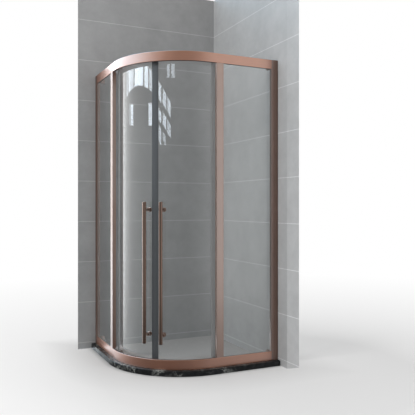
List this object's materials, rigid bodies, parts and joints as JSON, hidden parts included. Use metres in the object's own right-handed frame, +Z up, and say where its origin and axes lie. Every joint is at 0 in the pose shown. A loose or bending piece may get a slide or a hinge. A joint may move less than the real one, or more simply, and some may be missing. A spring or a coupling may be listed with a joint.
{
  "type": "quadrant shower enclosure",
  "caption": "Quarter-round corner shower enclosure: fixed glass sides, curved glass doors on rollers in metal rails, bar handles, on a stone curb.",
  "frame": {"origin": "centre of the plan square at the underside of the curb", "axes": "+Z up; the two walls are the planes at +X and +Y, and the round front faces -X and -Y"},
  "size_m": [1.015, 1.015, 2.035],
  "materials": {
    "stone_curb": "polished",
    "rose_metal": "satin",
    "clear_glass": "polished",
    "dark_seal": "matte",
    "grey_gasket": "matte",
    "clear_seal": "satin",
    "nylon": "satin",
    "steel": "brushed",
    "track_steel": "brushed"
  },
  "bodies": {
    "frame": {"stone_curb": "stone_curb", "bottom_rail": "rose_metal", "top_rail": "rose_metal", "left_wall_channel": "rose_metal", "right_wall_channel": "rose_metal", "left_jamb": "rose_metal", "right_jamb": "rose_metal", "left_post": "rose_metal", "right_post": "rose_metal", "left_fixed_glass": "clear_glass", "right_fixed_glass": "clear_glass", "left_glazing_gasket": "grey_gasket", "right_glazing_gasket": "grey_gasket", "pocket_covers": "grey_gasket", "top_tracks": "track_steel", "bottom_tracks": "track_steel", "post_plugs": "nylon", "rail_end_caps": "rose_metal", "frame_screws": "steel", "door_stops": "grey_gasket"},
    "left_door": {"left_door_glass": "clear_glass", "left_magnetic_seal": "dark_seal", "left_rear_seal": "clear_seal", "left_bottom_seal": "clear_seal", "left_handle": "rose_metal", "left_handle_roses": "rose_metal", "left_handle_knobs": "rose_metal", "left_roller_bolts": "steel", "left_roller_spacers": "nylon", "left_roller_caps": "rose_metal", "left_release_housings": "rose_metal", "left_front_spring": "steel", "left_rear_spring": "steel"},
    "left_top_front_wheel": {"left_top_front_wheel": "nylon"},
    "left_front_release": {"left_front_release": "steel"},
    "left_bottom_front_wheel": {"left_bottom_front_wheel": "nylon"},
    "left_top_rear_wheel": {"left_top_rear_wheel": "nylon"},
    "left_rear_release": {"left_rear_release": "steel"},
    "left_bottom_rear_wheel": {"left_bottom_rear_wheel": "nylon"},
    "right_door": {"right_door_glass": "clear_glass", "right_magnetic_seal": "dark_seal", "right_rear_seal": "clear_seal", "right_bottom_seal": "clear_seal", "right_handle": "rose_metal", "right_handle_roses": "rose_metal", "right_handle_knobs": "rose_metal", "right_roller_bolts": "steel", "right_roller_spacers": "nylon", "right_roller_caps": "rose_metal", "right_release_housings": "rose_metal", "right_front_spring": "steel", "right_rear_spring": "steel"},
    "right_top_front_wheel": {"right_top_front_wheel": "nylon"},
    "right_front_release": {"right_front_release": "steel"},
    "right_bottom_front_wheel": {"right_bottom_front_wheel": "nylon"},
    "right_top_rear_wheel": {"right_top_rear_wheel": "nylon"},
    "right_rear_release": {"right_rear_release": "steel"},
    "right_bottom_rear_wheel": {"right_bottom_rear_wheel": "nylon"}
  },
  "joints": [
    {"name": "left_door_swing", "type": "hinge", "parent": "frame", "child": "left_door", "pos_m": [0.35809, 0.1219, 1.035], "axis": [0, 0, 1], "range_deg": [-18, 0]},
    {"name": "left_top_front_wheel_spin", "type": "hinge", "parent": "left_door", "child": "left_top_front_wheel", "pos_m": [-0.383, -0.24083, 2.0068], "axis": [0.8387, 0.5446, 0], "continuous": true},
    {"name": "left_front_release_slide", "type": "slide", "parent": "left_door", "child": "left_front_release", "axis": [0, 0, -1], "range_m": [0, 0.005], "stiffness_N_per_m": 800, "springref_m": -0.004, "deforming": ["left_front_spring"]},
    {"name": "left_bottom_front_wheel_spin", "type": "hinge", "parent": "left_front_release", "child": "left_bottom_front_wheel", "pos_m": [-0.383, -0.24083, 0.0632], "axis": [0.8387, 0.5446, 0], "continuous": true},
    {"name": "left_top_rear_wheel_spin", "type": "hinge", "parent": "left_door", "child": "left_top_rear_wheel", "pos_m": [-0.461, 0.0225, 2.0068], "axis": [1, 0, 0], "continuous": true},
    {"name": "left_rear_release_slide", "type": "slide", "parent": "left_door", "child": "left_rear_release", "axis": [0, 0, -1], "range_m": [0, 0.005], "stiffness_N_per_m": 800, "springref_m": -0.004, "deforming": ["left_rear_spring"]},
    {"name": "left_bottom_rear_wheel_spin", "type": "hinge", "parent": "left_rear_release", "child": "left_bottom_rear_wheel", "pos_m": [-0.461, 0.0225, 0.0632], "axis": [1, 0, 0], "continuous": true},
    {"name": "right_door_swing", "type": "hinge", "parent": "frame", "child": "right_door", "pos_m": [0.1219, 0.35809, 1.035], "axis": [0, 0, 1], "range_deg": [0, 18]},
    {"name": "right_top_front_wheel_spin", "type": "hinge", "parent": "right_door", "child": "right_top_front_wheel", "pos_m": [-0.24083, -0.383, 2.0068], "axis": [0.5446, 0.8387, 0], "continuous": true},
    {"name": "right_front_release_slide", "type": "slide", "parent": "right_door", "child": "right_front_release", "axis": [0, 0, -1], "range_m": [0, 0.005], "stiffness_N_per_m": 800, "springref_m": -0.004, "deforming": ["right_front_spring"]},
    {"name": "right_bottom_front_wheel_spin", "type": "hinge", "parent": "right_front_release", "child": "right_bottom_front_wheel", "pos_m": [-0.24083, -0.383, 0.0632], "axis": [0.5446, 0.8387, 0], "continuous": true},
    {"name": "right_top_rear_wheel_spin", "type": "hinge", "parent": "right_door", "child": "right_top_rear_wheel", "pos_m": [0.0225, -0.461, 2.0068], "axis": [0, 1, 0], "continuous": true},
    {"name": "right_rear_release_slide", "type": "slide", "parent": "right_door", "child": "right_rear_release", "axis": [0, 0, -1], "range_m": [0, 0.005], "stiffness_N_per_m": 800, "springref_m": -0.004, "deforming": ["right_rear_spring"]},
    {"name": "right_bottom_rear_wheel_spin", "type": "hinge", "parent": "right_rear_release", "child": "right_bottom_rear_wheel", "pos_m": [0.0225, -0.461, 0.0632], "axis": [0, 1, 0], "continuous": true}
  ],
  "couplings": [
    {"joint": "left_top_front_wheel_spin", "follows": "left_door_swing", "ratio": 91.01},
    {"joint": "left_bottom_front_wheel_spin", "follows": "left_door_swing", "ratio": -91.01},
    {"joint": "left_top_rear_wheel_spin", "follows": "left_door_swing", "ratio": 91.01},
    {"joint": "left_bottom_rear_wheel_spin", "follows": "left_door_swing", "ratio": -91.01},
    {"joint": "right_top_front_wheel_spin", "follows": "right_door_swing", "ratio": 91.01},
    {"joint": "right_bottom_front_wheel_spin", "follows": "right_door_swing", "ratio": -91.01},
    {"joint": "right_top_rear_wheel_spin", "follows": "right_door_swing", "ratio": 91.01},
    {"joint": "right_bottom_rear_wheel_spin", "follows": "right_door_swing", "ratio": -91.01}
  ]
}
